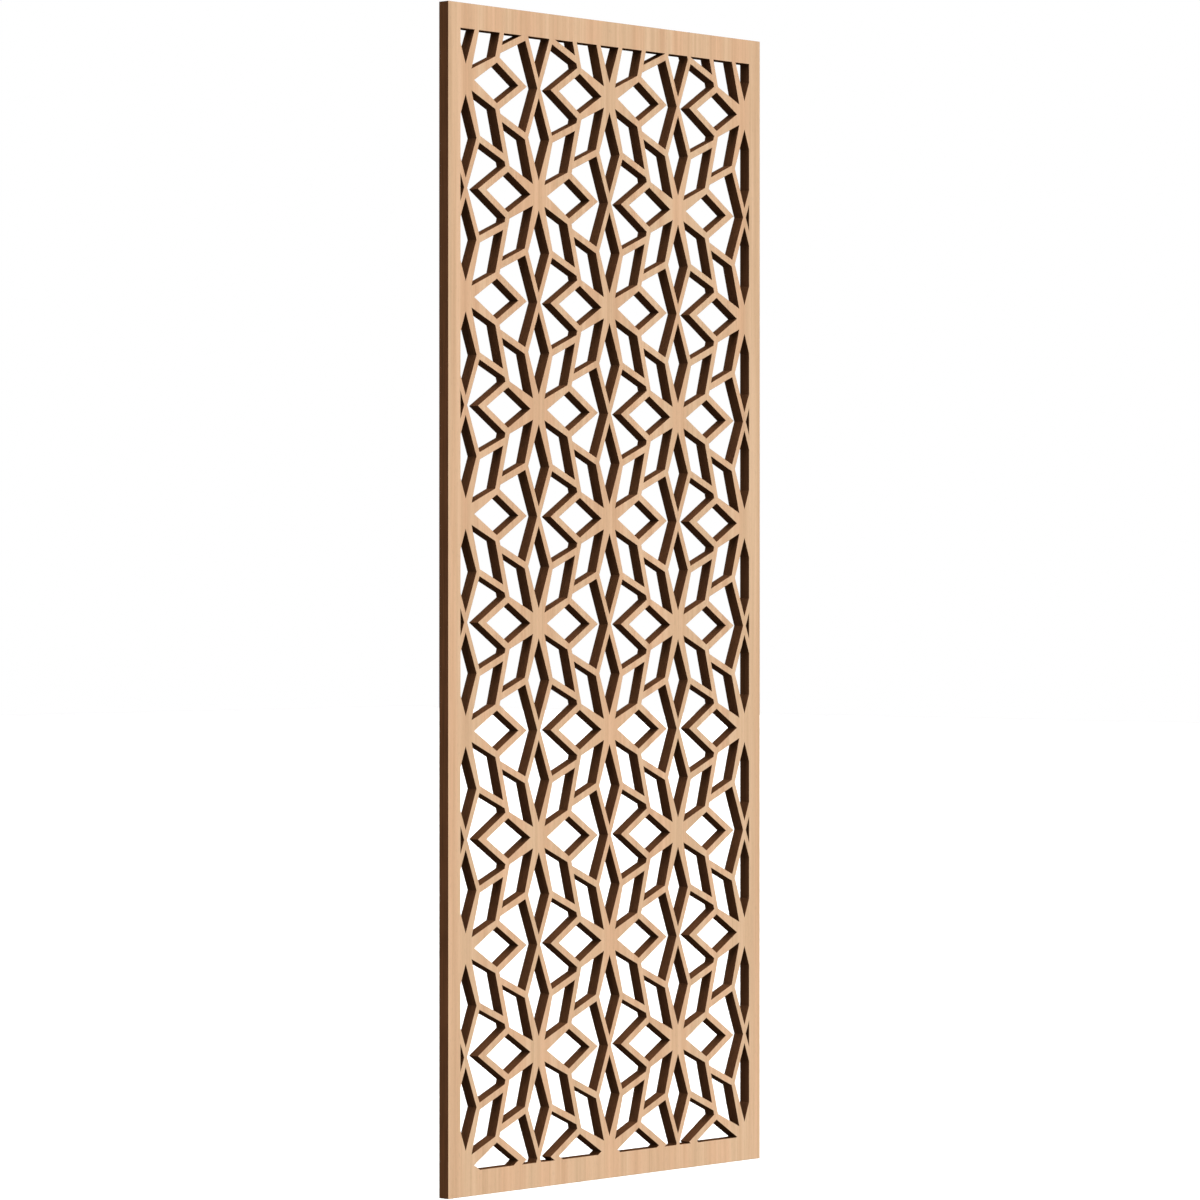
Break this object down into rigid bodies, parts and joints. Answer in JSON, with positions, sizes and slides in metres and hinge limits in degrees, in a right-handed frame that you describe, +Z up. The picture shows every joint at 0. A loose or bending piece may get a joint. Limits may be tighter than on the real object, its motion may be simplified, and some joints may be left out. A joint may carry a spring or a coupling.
{
  "type": "fretwork wall panel",
  "caption": "Tall flat wooden wall panel, cut through with a traditional lattice of eight-rayed stars inside a plain narrow border, fixed to a wall by its back face.",
  "frame": {"origin": "on the flat back face, in the middle of the top rail, where the panel is fixed to the wall", "axes": "+X along the width, to the right seen from the front; +Y out of the back face, into the wall; +Z up"},
  "size_m": [0.3906, 0.0104, 0.9779],
  "materials": {
    "light_wood": "satin, fine upright grain, cut edges charred dark brown"
  },
  "bodies": {
    "root": {"fretwork_panel": "light_wood"}
  },
  "joints": []
}
